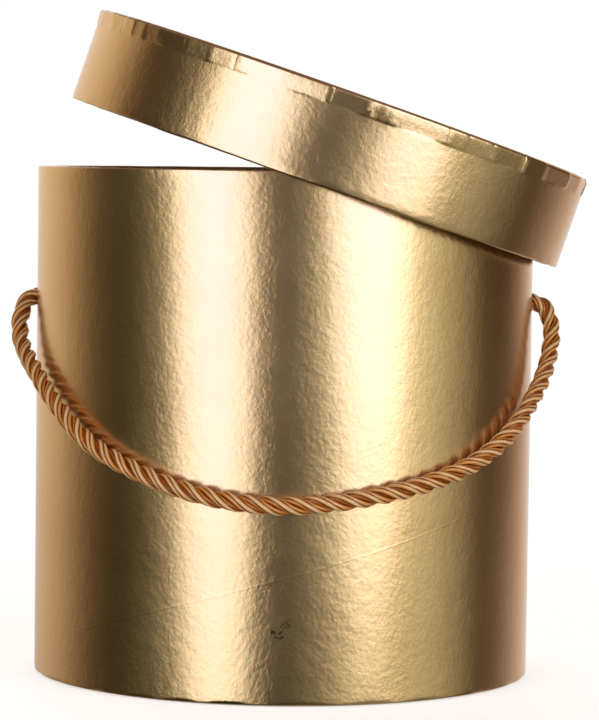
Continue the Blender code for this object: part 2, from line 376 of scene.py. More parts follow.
# On the flat sheet: a long slanting crease, two scratches high on the left of the front,
# and a small scuff low in its middle
front = body_radius * 1.5 * math.pi
body_marks = [
    ((front - 0.103, 0.0323), (front + 0.084, 0.0847), 0.0006, 0.000021),
    ((front - 0.100, 0.190), (front - 0.072, 0.198), 0.0002, 0.00002),
    ((front - 0.092, 0.194), (front - 0.083, 0.189), 0.0002, 0.00002),
]
body_scuffs = [
    ((front - 0.0034, 0.0428), (front - 0.0018, 0.0436), 0.0006),
    ((front - 0.0034, 0.0440), (front - 0.0016, 0.0424), 0.0005),
    ((front - 0.0024, 0.0416), (front - 0.0004, 0.0410), 0.0004),
    ((front - 0.0006, 0.0424), (front + 0.0006, 0.0436), 0.0006),
    ((front - 0.0004, 0.0408), (front + 0.0010, 0.0418), 0.0005),
    ((front - 0.0002, 0.0448), (front + 0.0014, 0.0462), 0.0003),
    ((front + 0.0008, 0.0442), (front + 0.0030, 0.0462), 0.0003),
    ((front + 0.0020, 0.0442), (front + 0.0038, 0.0458), 0.0003),
    ((front + 0.0014, 0.0460), (front + 0.0028, 0.0472), 0.0003),
]
foil = foil_paper("champagne_foil_paper", body_marks, body_scuffs)
wrap_line = folded_line(
    [
        (body_radius - fold_under, flange_bottom),
        (body_radius, flange_bottom),
        (body_radius, box_height),
        (lining_inner, box_height),
        (lining_inner, box_height - turn_in),
    ],
    [foot_fold, rim_fold, rim_fold],
    [under_step, wall_step, rim_step, turn_in_step],
)
above_fold = int(np.argmax(wrap_line[:, 1] > flange_bottom + 2 * foot_fold))
more_rows = [(body_radius, flange_bottom + rise) for rise in pleat_rows]
wrap_line = np.insert(wrap_line, above_fold, more_rows, axis=0)
round_wall = np.linspace(0, math.tau - lap_ramp, wall_columns)
round_lap = np.linspace(math.tau - lap_approach, math.tau + lap_angle, lap_columns)
wrap_angles = back + np.concatenate([round_wall, round_lap])
wrap, angle, radius, height = paper_sheet("foil_wrap", wrap_line, wrap_angles, body_radius)

# Pleats under the foot draw the edge in between them, and their spacing drifts
pleat_place = (
    angle * pleats / math.tau + 0.22 * np.sin(3 * angle) + 0.15 * np.cos(7 * angle)
) % 1
pleat = np.cos((pleat_place - 0.5) * math.tau / pleats) / math.cos(math.pi / pleats)
near_foot = 1 - smooth_step((height - flange_bottom) / pleat_height)
drawn_in = (1 - math.cos(math.pi / pleats) * pleat) * near_foot
radius -= body_radius * pleat_share * drawn_in * np.minimum(1, (radius / body_radius) ** 8)
height += pleat_lift * (1 - np.abs(2 * pleat_place - 1)) * near_foot

# The sheet's far end laps over its near end, and the glued paper is never quite even
lap = lap_rise(angle - back)
outer = (radius > body_radius - outer_depth) & (height > flange_bottom + foot_fold)
uneven = unevenness(angle, radius, height, (0.00007, 0.035, 3.1), (0.00002, 0.012, 8.4))
edge_wave = unevenness(angle, radius, height, (0.00006, 0.006, 5.5), (0.00005, 0.015, 1.5))
rim_zone = smooth_step((height - (box_height - wave_reach)) / wave_blend)
radius += np.where(outer, lap + uneven * (1 - near_foot), 0)
radius -= np.where(radius < lining_inner + inner_depth, lap - uneven, 0)
height += edge_wave * rim_zone
place_points(wrap, angle, radius, height)
finish_sheet(wrap)
for side in (-1, 1):
    bpy.ops.object.select_all(action="DESELECT")
    bpy.ops.mesh.primitive_cylinder_add(
        vertices=64, radius=hole_radius, depth=punch_depth,
        location=(side * body_radius, 0, hole_height), rotation=(0, math.pi / 2, 0),
    )
    punch = bpy.context.object
    bpy.ops.object.select_all(action="DESELECT")
    wrap.select_set(True)
    bpy.context.view_layer.objects.active = wrap
    hole = wrap.modifiers.new("hole", "BOOLEAN")
    hole.operation = "DIFFERENCE"
    hole.solver = "EXACT"
    hole.object = punch
    bpy.ops.object.modifier_apply(modifier=hole.name)
    bpy.data.objects.remove(punch)
wrap.data.materials.append(foil)
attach(wrap, "box")
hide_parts("body_wrap")

# The inside papers of the body and the cover under its foot: plain cream paper, one
# strip round the wall and a disc on the floor, and one disc glued under the foot.
lining_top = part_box("body_lining")[1].z
floor_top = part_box("floor_paper")[1].z
floor_gap = 0.0003
lining_step, lining_columns = 0.008, 200
disc_step, spokes = 0.004, 144
disc_wave_size, disc_wave_seed = 0.03, 4.4


def lining_paper():
    """Uncoated cream paper: matt, with faint clouds from its pulp and a fine tooth."""
    material = new_material("cream_lining_paper")
    place = add_node(material, "TexCoord").outputs["Object"]
    cloud_size, tooth_size = 0.009, 0.0008
    grain = add_node(material, "Mapping", {"Vector": place, "Rotation": (0.3, 0.7, 0.1)})
    pulp = add_node(
        material, "TexNoise",
        {"Vector": grain.outputs["Vector"], "Scale": 1 / cloud_size, "Detail": 5,
         "Roughness": 0.65},
    )
    tone = add_node(
        material, "ValToRGB", {"Fac": pulp.outputs["Fac"]},
        stops=[(0.3, "#E2DBCD"), (0.7, "#EFEADF")],
    )
    tooth = add_node(
        material, "TexNoise",
        {"Vector": grain.outputs["Vector"], "Scale": 1 / tooth_size, "Detail": 3,
         "Roughness": 0.6},
    )
    relief = add_node(
        material, "Bump", {"Strength": 0.4, "Distance": 0.00005, "Height": tooth.outputs["Fac"]}
    )
    shader = add_node(
        material, "BsdfPrincipled",
        {"Base Color": tone.outputs["Color"], "Roughness": 0.82, "Specular IOR Level": 0.3,
         "Normal": relief.outputs["Normal"]},
    )
    add_node(material, "OutputMaterial", {"Surface": shader.outputs["BSDF"]})
    return material


lining = lining_paper()
lining_angles = back + np.linspace(0, -math.tau - lap_angle, lining_columns)
lining_line = folded_line(
    [(lining_inner, floor_top), (lining_inner, lining_top)], [], [lining_step]
)
wall_paper, angle, radius, height = paper_sheet(
    "wall_lining", lining_line, lining_angles, lining_inner
)
radius -= lap_rise(back - angle) + unevenness(angle, radius, height, (0.00004, 0.03, 2.2))
place_points(wall_paper, angle, radius, height)
finish_sheet(wall_paper)


def paper_disc(name, disc_radius, level, facing, waves, seat=None):
    """A round sheet at that level, with waves that deep, facing up (1) or down (-1)."""
    line = folded_line([(0, level), (disc_radius, level)], [], [disc_step])
    angles = np.linspace(0, -facing * math.tau, spokes + 1)
    sheet, angle, radius, height = paper_sheet(name, line, angles)
    height += unevenness(angle, radius, height, (waves, disc_wave_size, disc_wave_seed))
    place_points(sheet, angle, radius, height, seat)
    finish_sheet(sheet)
    return sheet


floor_sheet = paper_disc("floor_lining", lining_inner - floor_gap, floor_top, 1, 0.00005)
foot_sheet = paper_disc("foot_cover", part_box("base_cover")[1].x, 0.0, -1, 0.0)
for piece, node in (
    (wall_paper, "body_lining"), (floor_sheet, "floor_paper"), (foot_sheet, "base_cover")
):
    piece.data.materials.append(lining)
    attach(piece, "box")
    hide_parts(node)

# The lid's foil cover: a round sheet glued on the top disc. Its edge is cut into tabs
# about 12 mm wide, folded down over the ring and glued. Each fold is straight from cut
# to cut, so the lid's edge is a many-sided line, and each cut leaves a small pinch.
lid_tilt = math.radians(18.57)
lid_height = 0.0338
lid_inner = 0.0915
band_outer = 0.0931
cover_corner = 0.0932
tab_end = 0.0278
tab_middle_height = 0.0300
flare_top = 0.0322
last_row = 0.002
cover_fold = 0.0015
fold_reach = 1.6 * cover_fold
top_step, side_step, column_turn = 0.0038, 0.0012, 0.024
deepest_flat = 0.00036
tab_flare = 0.06
lean_spread, yaw_spread = 0.018, 0.024
least_pinch, deepest_pinch = 0.00004, 0.00016
pinch_bottom, pinch_blend, pinch_drop = 0.0308, 0.0008, 0.6
disc_low, disc_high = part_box("lid_disc")
disc_middle = 0.0320
lid_up = Vector((math.sin(lid_tilt), 0, math.cos(lid_tilt)))
lid_seat = Matrix.Translation((disc_low + disc_high) / 2 - lid_up * disc_middle) @ (
    Matrix.Rotation(lid_tilt, 4, "Y")
)

# The tabs were cut by eye. Their widths go round the front from left to right, and the
# same again round the back, and crisp is half the turn in which one meets the next.
tab_width_shares = (
    1.00, 0.91, 1.07, 0.87, 0.71, 0.60, 0.75, 0.93, 0.89, 0.92, 0.36, 0.93,
    1.67, 1.16, 0.48, 1.83, 0.69, 0.87, 1.32, 1.08, 1.45, 1.12, 1.15, 1.25,
)
tab_widths = np.tile(tab_width_shares, 2) * math.pi / sum(tab_width_shares)
tab_borders = math.pi + np.concatenate([[0], np.cumsum(tab_widths)])
tab_middles = (tab_borders[:-1] + tab_borders[1:]) / 2
chance = np.random.default_rng(4)
tab_lean = tab_flare + chance.uniform(-lean_spread, lean_spread, len(tab_widths))
tab_yaw = chance.uniform(-yaw_spread, yaw_spread, len(tab_widths))
crisp = 0.0002 / band_outer


def column_angles(start, extra):
    """Angles for a sheet round the lid: a column on each tab border and close to it."""
    angles = []
    for first, last in zip(tab_borders[:-1], tab_borders[1:]):
        count = max(2, round((last - first - 2 * crisp) / column_turn))
        angles.extend([first, *np.linspace(first + crisp, last - crisp, count + 1)])
    angles = np.sort((np.array(angles) - start) % math.tau) + start
    lapped = angles[0] + math.tau + np.linspace(0, extra, 4 if extra else 1)
    return np.concatenate([angles, lapped])


def tab_faces(angle, height, corner):
    """Radius of the flat tab faces, how close a cut is, and which cut that is.

    The faces meet at the corner radius, and each leans out or in on its own.
    """
    up_tab = np.minimum(height, flare_top) - tab_middle_height
    wrapped = (angle - tab_borders[0]) % math.tau + tab_borders[0]
    border = np.abs(wrapped[:, None] - tab_borders[None, :]).argmin(1)
    beyond = wrapped - tab_borders[border]
    share = smooth_step(beyond / (2 * crisp) + 0.5)
    faces = []
    for tab in ((border - 1) % len(tab_widths), border % len(tab_widths)):
        off_middle = wrapped - tab_middles[tab]
        off_middle = (off_middle + math.pi) % math.tau - math.pi
        chord = np.cos(tab_widths[tab] / 2) / np.cos(off_middle)
        sunk = corner * (1 - np.cos(tab_widths[tab] / 2))
        flatness = np.minimum(1, deepest_flat / sunk)
        face = corner * (1 - flatness * (1 - chord) + off_middle * tab_yaw[tab])
        faces.append(face + tab_lean[tab] * up_tab)
    return faces[0] * (1 - share) + faces[1] * share, np.exp(-((beyond / crisp) ** 2)), border


# Two faint scratches on the lid's side
lid_front = band_outer * 1.5 * math.pi
lid_marks = [
    ((lid_front - 0.047, 0.024), (lid_front - 0.041, 0.029), 0.0002, 0.00002),
    ((lid_front + 0.041, 0.036), (lid_front + 0.044, 0.035), 0.0003, 0.00004),
]
lid_foil = foil_paper("champagne_foil_paper_lid", lid_marks)
cover_line = np.vstack([
    folded_line(
        [(0, lid_height), (band_outer, lid_height), (band_outer, tab_end + last_row)],
        [cover_fold], [top_step, side_step],
    ),
    [(band_outer, tab_end)],
])
cover, angle, radius, height = paper_sheet(
    "foil_lid_cover", cover_line, column_angles(-back, 0)[::-1]
)
on_fold = smooth_step((radius - band_outer + fold_reach) / cover_fold)
faces, cuts, border = tab_faces(angle, height, cover_corner)
cut_pinch = chance.uniform(least_pinch, deepest_pinch, len(tab_widths) + 1)
pinch = cut_pinch[border] * cuts * on_fold
pinch *= smooth_step((height - pinch_bottom) / pinch_blend)
sunk = unevenness(angle, radius, height, (0.00010, 0.045, 6.1), (0.00004, 0.018, 9.6))
height += sunk * (1 - on_fold) - pinch * pinch_drop
radius = radius * faces / band_outer - pinch
place_points(cover, angle, radius, height, lid_seat)
finish_sheet(cover)
cover.data.materials.append(lid_foil)
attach(cover, "lid")
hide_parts("lid_top_paper")

# The lid's foil band: a strip of the same paper glued round the ring over the tabs, to
# about 1 mm below the lid's top, and turned in round its lower edge. The flat tabs show
# through it as facets, and it steps in softly below them.
band_corner = cover_corner + 0.00026
band_top = 0.0326
band_top_slope = 0.0003
band_turn_in = 0.012
band_folds = [0.0007, 0.0008]
band_steps = [0.003, 0.0004, 0.0022]
step_bottom, step_top = tab_end - 0.0010, tab_end + 0.0003
step_rows, tab_rows = 7, 4
outer_blend, turned_edge = 0.0005, 0.0002
cut_dent = 0.00005
edge_reach, top_reach = 0.002, 0.001
band_line = np.vstack([
    folded_line(
        [(lid_inner, band_turn_in), (lid_inner, 0), (band_outer, 0), (band_outer, step_bottom)],
        band_folds, band_steps,
    ),
    [(band_outer, rise) for rise in np.linspace(step_bottom, step_top, step_rows + 1)[1:]],
    [(band_outer, rise) for rise in np.linspace(step_top, band_top, tab_rows + 1)[1:]],
])
band, angle, radius, height = paper_sheet(
    "foil_lid_band", band_line, column_angles(back, lap_angle), band_outer
)
outside = smooth_step((radius - band_outer + outer_depth) / outer_blend) * (height > turned_edge)
over_tabs = smooth_step((height - step_bottom) / (step_top - step_bottom))

# Over the tabs the band follows their faces, and its top bends in with the cover's fold
faces, cuts, _ = tab_faces(angle, height, band_corner)
past_fold = np.clip(height - (lid_height - cover_fold), 0, cover_fold)
faces -= cover_fold - np.sqrt(cover_fold**2 - past_fold**2)
over_cuts = faces - band_outer - cut_dent * cuts
height -= band_top_slope * np.cos(angle) * smooth_step((height - step_top) / (band_top - step_top))

# Below them the paper is a little uneven, and so are its cut top and its turned edge
uneven = unevenness(angle, radius, height, (0.00006, 0.03, 7.7), (0.00003, 0.011, 2.9))
edge_wave = unevenness(angle, radius, height, (0.00016, 0.006, 1.2), (0.00014, 0.02, 3.3))
edge_swell = unevenness(angle, radius, height, (0.00012, 0.005, 6.6))
top_wave = unevenness(angle, radius, height, (0.00006, 0.005, 9.9))
lap = lap_rise(angle - back)
radius += outside * (over_tabs * over_cuts + (1 - over_tabs) * uneven)
radius += np.where(outside > 0, lap, -lap)
edge = 1 - smooth_step(height / edge_reach)
height += edge * edge_wave
radius += edge * outside * edge_swell
height += top_wave * smooth_step((height - band_top + top_reach) / top_reach)
place_points(band, angle, radius, height, lid_seat)
finish_sheet(band)
band.data.materials.append(lid_foil)
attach(band, "lid")
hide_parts("lid_band")

# The lid's inside papers: the same plain cream paper as in the body, a strip glued round
# the ring above the band's turned-in edge, and a disc glued under the top.
strip_bottom, strip_top = 0.01225, 0.0306
strip_step, strip_columns = 0.003, 180
under_top, under_gap = 0.0304, 0.0003
strip_angles = back + np.linspace(0, -math.tau - lap_angle, strip_columns)
strip_line = folded_line([(lid_inner, strip_bottom), (lid_inner, strip_top)], [], [strip_step])
strip, angle, radius, height = paper_sheet("lid_ring_paper", strip_line, strip_angles, lid_inner)
place_points(strip, angle, radius - lap_rise(back - angle), height, lid_seat)
finish_sheet(strip)
under_disc = paper_disc(
    "lid_disc_paper", lid_inner - under_gap, under_top, -1, 0.00004, lid_seat
)
for piece, node in ((strip, "lid_ring_lining"), (under_disc, "lid_disc_lining")):
    piece.data.materials.append(lining)
    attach(piece, "lid")
    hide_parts(node)

# The handle: one limp twisted cord of three strands, each of fine satin yarns, in copper
# gold. It comes out of the right and left holes and hangs across the front of the box.
cord_diameter = 0.0065
cord_stub = Vector((0.0008, 0, 0))
strand_count, strand_lay, strand_share = 3, 0.0225, 0.252
yarn_count, yarn_turns, yarn_radius = 5, -0.15, 0.52
ring_step, ring_points = 0.0006, 42
span_parts = 40

# The middle of the cord, from the left hole to the right one, with heights from the holes
cord_route = (
    (-0.0880, 0.0000, 0.0000),
    (-0.0903, -0.0002, -0.0001),
    (-0.0934, -0.0016, -0.0019),
    (-0.0956, -0.0054, -0.0072),
    (-0.0952, -0.0122, -0.0149),
    (-0.0920, -0.0226, -0.0212),
    (-0.0870, -0.0352, -0.0276),
    (-0.0816, -0.0464, -0.0342),
    (-0.0750, -0.0565, -0.0415),
    (-0.0660, -0.0668, -0.0490),
    (-0.0525, -0.0778, -0.0558),
    (-0.0355, -0.0869, -0.0618),
    (-0.0180, -0.0922, -0.0654),
    (0.0000, -0.0939, -0.0666),
    (0.0180, -0.0922, -0.0654),
    (0.0365, -0.0865, -0.0626),
    (0.0530, -0.0775, -0.0587),
    (0.0655, -0.0673, -0.0540),
    (0.0750, -0.0565, -0.0482),
    (0.0825, -0.0449, -0.0413),
    (0.0882, -0.0328, -0.0342),
    (0.0928, -0.0218, -0.0268),
    (0.0961, -0.0118, -0.0178),
    (0.0969, -0.0046, -0.0086),
    (0.0942, -0.0012, -0.0020),
    (0.0903, -0.0001, -0.0001),
    (0.0880, 0.0000, 0.0000),
)


def smooth_line(route, end_slope, step):
    """Points every step along a smooth curve through the route."""
    stations = [Vector(point) for point in route]
    spans = [(b - a).length for a, b in zip(stations, stations[1:])]
    slopes = [end_slope]
    for index in range(1, len(stations) - 1):
        before = (stations[index] - stations[index - 1]) / spans[index - 1]
        after = (stations[index + 1] - stations[index]) / spans[index]
        weight = spans[index] / (spans[index - 1] + spans[index])
        slopes.append(before * weight + after * (1 - weight))
    slopes.append(end_slope)
    fine = []
    for index, span in enumerate(spans):
        for t in np.linspace(0, 1, span_parts, endpoint=False):
            fine.append(
                stations[index] * (2 * t**3 - 3 * t**2 + 1)
                + slopes[index] * span * (t**3 - 2 * t**2 + t)
                + stations[index + 1] * (3 * t**2 - 2 * t**3)
                + slopes[index + 1] * span * (t**3 - t**2)
            )
    fine = np.array([*fine, stations[-1]])
    travelled = travelled_along(fine)
    wanted = np.linspace(0, travelled[-1], round(travelled[-1] / step) + 1)
    return np.stack([np.interp(wanted, travelled, fine[:, axis]) for axis in range(3)], 1)


def unit(vectors):
    """The vectors' directions, each with a length of 1."""
    return vectors / np.linalg.norm(vectors, axis=-1, keepdims=True)


def carried_normals(line):
    """Two normals carried along a line without twist, the first of them from upright."""
    tangents = unit(np.gradient(line, axis=0))
    normals = np.zeros_like(line)
    normal = np.array((0, 0, 1), float)
    for index, tangent in enumerate(tangents):
        normal = normal - tangent * (normal @ tangent)
        normal /= np.linalg.norm(normal)
        normals[index] = normal
    return normals, np.cross(tangents, normals)


def twisted_rope(name, line, diameter):
    """Three strands wound round a line, each with a lobed outline that its yarns give it.

    The diameter is one value, or one for each point of the line. Each point keeps how far
    out it lies from the cord's middle and from its strand's, for the colour's painted shade
    and highlight.
    """
    diameter = np.broadcast_to(diameter, len(line))
    strand_radius = diameter * strand_share
    helix_radius = diameter / 2 - strand_radius
    yarn_reach = 1 - yarn_radius
    travelled = travelled_along(line)
    normals, others = carried_normals(line)
    turn = np.linspace(0, math.tau, ring_points, endpoint=False)
    beside = (turn * yarn_count / math.tau + 0.5) % 1 - 0.5
    beside *= math.tau / yarn_count
    outline = yarn_reach * np.cos(beside) + np.sqrt(
        yarn_radius**2 - (yarn_reach * np.sin(beside)) ** 2
    )
    points, faces, flat, depth = [], [], [], []
    for strand in range(strand_count):
        phase = (math.tau * (travelled / strand_lay + strand / strand_count))[:, None]
        outward = normals * np.cos(phase) + others * np.sin(phase)
        middle = line + outward * helix_radius[:, None]
        along = unit(np.gradient(middle, axis=0))
        outward = unit(outward - along * np.sum(outward * along, axis=1, keepdims=True))
        aside = np.cross(along, outward)
        ply = (math.tau * yarn_turns * travelled / strand_lay + strand)[:, None] + turn[None, :]
        rings = (
            middle[:, None, :]
            + outline[None, :, None] * strand_radius[:, None, None] * (
                np.cos(ply)[..., None] * outward[:, None, :]
                + np.sin(ply)[..., None] * aside[:, None, :]
            )
        )
        base = sum(len(part) for part in points)
        points.append(rings.reshape(-1, 3))
        reach = np.linalg.norm(rings - line[:, None, :], axis=2) / (diameter[:, None] / 2)
        within_strand = np.broadcast_to(outline[None, :], reach.shape)
        depth.append(np.stack([reach, within_strand], 2).reshape(-1, 2))
        count = len(line)
        for ring in range(count - 1):
            for spot in range(ring_points):
                following = (spot + 1) % ring_points
                a = base + ring * ring_points + spot
                b = base + ring * ring_points + following
                faces.append((a, b, b + ring_points, a + ring_points))
                across = (spot / ring_points, (spot + 1) / ring_points)
                down = (travelled[ring], travelled[ring + 1])
                flat.extend([
                    (down[0], across[0]), (down[0], across[1]),
                    (down[1], across[1]), (down[1], across[0]),
                ])
        for ring, order in ((0, -1), (count - 1, 1)):
            cap = [base + ring * ring_points + spot for spot in range(ring_points)][::order]
            faces.append(cap)
            flat.extend([(travelled[ring], 0.5)] * ring_points)
    mesh = bpy.data.meshes.new(name)
    mesh.from_pydata(np.vstack(points).tolist(), [], faces)
    layer = mesh.uv_layers.new(name="along_and_around")
    layer.data.foreach_set("uv", np.array(flat).ravel())
    # These values drive the cord's painted shade in its grooves and painted highlight on its
    # ridges
    for column, title in enumerate(("out_from_axis", "out_from_strand")):
        values = mesh.attributes.new(title, "FLOAT", "POINT")
        values.data.foreach_set("value", np.vstack(depth)[:, column].astype(np.float32))
    mesh.update()
    piece = bpy.data.objects.new(name, mesh)
    bpy.context.scene.collection.objects.link(piece)
    bpy.ops.object.select_all(action="DESELECT")
    piece.select_set(True)
    bpy.context.view_layer.objects.active = piece
    bpy.ops.object.shade_smooth_by_angle(angle=math.radians(80))
    return piece


def satin_cord():
    """Copper-gold rayon satin, with painted shade and highlight in its colour: deep orange
    towards the cord's middle, dark brown down in the grooves, and cream on the ridges.

    Its filaments lie slantwise across each yarn. Real ones are far finer, and are drawn
    in bundles this coarse so that they show as ticks.
    """
    material = new_material("copper_satin_cord")
    flat = add_node(material, "TexCoord").outputs["UV"]
    place = add_node(material, "TexCoord").outputs["Object"]
    bundle_width, slant_turns, rub_size = 0.0007, 7.0, 0.0016
    slant = add_node(
        material, "VectorMath", {0: flat, 1: (1 / bundle_width, slant_turns, 0)},
        operation="MULTIPLY",
    )
    split = add_node(material, "SeparateXYZ", {"Vector": slant.outputs["Vector"]})
    turns = add_node(
        material, "Math", {0: split.outputs["X"], 1: split.outputs["Y"]}, operation="ADD"
    )
    angle = add_node(
        material, "Math", {0: turns.outputs["Value"], 1: math.tau}, operation="MULTIPLY"
    )
    wound = add_node(material, "Math", {0: angle.outputs["Value"]}, operation="SINE")
    rubbed = add_node(
        material, "TexNoise",
        {"Vector": place, "Scale": 1 / rub_size, "Detail": 3.0, "Roughness": 0.6},
    )
    height = add_node(
        material, "Math", {0: wound.outputs["Value"], 1: rubbed.outputs["Fac"]},
        operation="MULTIPLY",
    )
    relief = add_node(
        material, "Bump", {"Strength": 0.7, "Distance": 0.00006, "Height": height.outputs["Value"]}
    )
    from_axis = add_node(material, "Attribute", attribute_name="out_from_axis").outputs["Fac"]
    from_strand = add_node(material, "Attribute", attribute_name="out_from_strand").outputs["Fac"]
    # Painted shade and highlight: deep orange towards the cord's middle, cream at its outside
    painted_shade_and_highlight = add_node(
        material, "ValToRGB", {"Fac": from_axis},
        stops=[(0.45, "#863804"), (0.66, "#BE620E"), (0.85, "#E29A40"), (0.97, "#FFD8A0")],
    )
    # Painted shade: dark brown down in the grooves between the yarns, no change on their crowns
    painted_groove_shade = add_node(
        material, "ValToRGB", {"Fac": from_strand},
        stops=[(0.84, "#4E2A0C"), (0.90, "#BC8A50"), (0.97, "#FFFFFF")],
    )
    # The cord's colour, with its painted shade and painted highlight multiplied together
    tone = add_node(
        material, "Mix", {0: 1.0, 6: painted_shade_and_highlight.outputs["Color"], 7: painted_groove_shade.outputs["Color"]},
        data_type="RGBA", blend_type="MULTIPLY",
    )
    shader = add_node(
        material, "BsdfPrincipled",
        {"Base Color": tone.outputs[2], "Roughness": 0.34, "IOR": 2.2,
         "Specular Tint": linear("#FFE0B4"), "Normal": relief.outputs["Normal"]},
    )
    add_node(material, "OutputMaterial", {"Surface": shader.outputs["BSDF"]})
    return material


satin = satin_cord()
lift = np.array((0, 0, hole_height))
straight_out = Vector((-1, 0, 0))
route_line = smooth_line(cord_route, straight_out, ring_step) + lift
cord_line = np.vstack([
    route_line[0] + np.array(cord_stub), route_line, route_line[-1] - np.array(cord_stub)
])
rope = twisted_rope("twisted_cord_handle", cord_line, cord_diameter)
rope.data.materials.append(satin)
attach(rope, "handle")
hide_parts("rope_handle")

# The cord's ends are each tied in an overhand knot, which stops the cord inside the wall.
# The knot is pulled tight, so its cord is pressed thinner, and a short tail is left.
knot_cord = 0.0046
knot_point_count = 90
entry_points = 5
tail_loosening = 0.8
rope_end = abs(cord_line[0][0])
tail_end = abs(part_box("knot_right")[0].x)


def tight_knot(thickness, count):
    """The middle line of an overhand knot, pulled until the cord rests on itself.

    It starts as a loose, wide knot of evenly spaced points. In each pull the links between
    them shorten, the line straightens a little, and turns that press on each other part.
    """
    loose_reach, loose_size = 2.15, 0.0022
    pulls, link_rounds = 1500, 6
    pull_share, shortest_link = 0.999, 0.16
    stiffness, parting, neighbour_reach = 0.12, 0.25, 1.6
    t = np.linspace(-loose_reach, loose_reach, count)
    loose = (0.35 * (t**5 - 10 * t), 1.6 * (t**3 - 3 * t), 0.9 * (t**4 - 4 * t**2))
    line = loose_size * np.stack(loose, 1)
    line -= line.mean(0)
    order = np.arange(count)
    between = np.abs(order[:, None] - order[None, :])
    link = np.linalg.norm(np.diff(line, axis=0), axis=1).mean()
    for _ in range(pulls):
        if link > thickness * shortest_link:
            link *= pull_share
        for _ in range(link_rounds):
            steps = np.diff(line, axis=0)
            stretch = steps * (1 - link / np.linalg.norm(steps, axis=1, keepdims=True)) / 4
            line[:-1] += stretch
            line[1:] -= stretch
        line[1:-1] += stiffness * (line[:-2] + line[2:] - 2 * line[1:-1])
        apart = line[:, None, :] - line[None, :, :]
        distance = np.linalg.norm(apart, axis=2)
        pressed = (distance < thickness) & (between * link > thickness * neighbour_reach)
        push = np.where(pressed, (thickness - distance) / np.maximum(distance, 1e-9), 0)
        move = (push[..., None] * apart).sum(1)
        line += parting * move / np.maximum(pressed.sum(1), 1)[:, None]
        line[0, 1:] = line[-1, 1:] = 0
    return line


knot_line = tight_knot(knot_cord, knot_point_count)
knot_line[:, 0] = rope_end - (knot_line[:, 0] - knot_line[0, 0])
tail_count = max(4, round((knot_line[-1, 0] - tail_end) / ring_step))
tail = np.linspace(knot_line[-1], (tail_end, 0, 0), tail_count)[1:]
knot_line = np.vstack([knot_line, tail])
loosened = np.concatenate([
    1 - smooth_step(np.arange(knot_point_count) / entry_points),
    tail_loosening * smooth_step(np.linspace(0, 1, len(tail))),
])
knot_diameters = knot_cord + (cord_diameter - knot_cord) * loosened
for name, node, side in (("left_knot", "knot_left", -1), ("right_knot", "knot_right", 1)):
    turned = knot_line * (side, side, 1) + lift
    knot = twisted_rope(name, turned, knot_diameters)
    knot.data.materials.append(satin)
    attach(knot, "handle")
    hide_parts(node)

# The studio: a plain pale floor, two tall soft boxes in front, one overhead, a white
# backdrop behind the box, and the dim room in front of it, which the foil mirrors.
floor_size = 3.0
overhead_radiance = 1.6
bpy.ops.object.select_all(action="DESELECT")
bpy.ops.mesh.primitive_plane_add(size=floor_size)
floor = bpy.context.object
floor.name = "studio_floor"
floor_paint = new_material("pale_floor")
place = add_node(floor_paint, "TexCoord").outputs["Object"]
reach = add_node(floor_paint, "VectorMath", {0: place}, operation="LENGTH")
fade = add_node(
    floor_paint, "MapRange",
    {"Value": reach.outputs["Value"], "From Min": 0.12, "From Max": 0.45},
    interpolation_type="SMOOTHSTEP",
)
matt = add_node(floor_paint, "BsdfDiffuse", {"Color": linear("#EEF2F4")})
white = add_node(floor_paint, "Emission", {"Color": (1, 1, 1, 1), "Strength": 1.0})
glow = add_node(floor_paint, "Emission", {"Color": (1, 1, 1, 1), "Strength": 0.62})
lit = add_node(floor_paint, "AddShader", {0: matt.outputs["BSDF"], 1: glow.outputs["Emission"]})
looked_at = add_node(
    floor_paint, "MixShader",
    {0: fade.outputs["Result"], 1: lit.outputs["Shader"], 2: white.outputs["Emission"]},
)
blend = add_node(
    floor_paint, "MixShader",
    {0: add_node(floor_paint, "LightPath").outputs["Is Camera Ray"],
     1: matt.outputs["BSDF"], 2: looked_at.outputs["Shader"]},
)
add_node(floor_paint, "OutputMaterial", {"Surface": blend.outputs["Shader"]})
floor.data.materials.append(floor_paint)
floor.visible_glossy = False


def soft_box(name, azimuth, distance, width, low, high, radiance, lean, cool_share):
    """A tall oval soft box at that azimuth from the front, where 90 is the right.

    Its cloth lets cool white light through in the middle and warmer light at its edge.
    The cool share is how much of its half width is cool, and the lean tips its top over.
    """
    turn = math.radians(azimuth)
    lamp = bpy.data.lights.new(name, "AREA")
    lamp.shape = "ELLIPSE"
    lamp.size = width
    lamp.size_y = high - low
    lamp.energy = radiance * math.pi * width * (high - low) * math.pi / 4
    lamp.use_nodes = True
    lamp.node_tree.nodes.clear()
    cloth = add_node(lamp, "NewGeometry").outputs["Parametric"]
    off_centre = add_node(lamp, "VectorMath", {0: cloth, 1: (0.5, 0.5, 0)}, operation="DISTANCE")
    warmth = add_node(
        lamp, "ValToRGB", {"Fac": off_centre.outputs["Value"]},
        stops=[(cool_share / 2, "#DADAFA"), (0.50, "#F8ECBE")],
    )
    glow = add_node(lamp, "Emission", {"Color": warmth.outputs["Color"], "Strength": 1.0})
    add_node(lamp, "OutputLight", {"Surface": glow.outputs["Emission"]})
    holder = bpy.data.objects.new(name, lamp)
    bpy.context.scene.collection.objects.link(holder)
    holder.location = (
        distance * math.sin(turn), -distance * math.cos(turn), (low + high) / 2
    )
    holder.rotation_euler = (
        Matrix.Rotation(turn, 3, "Z") @ Matrix.Rotation(math.pi / 2, 3, "X")
        @ Matrix.Rotation(math.radians(lean), 3, "Z")
    ).to_euler()
    holder.visible_camera = False


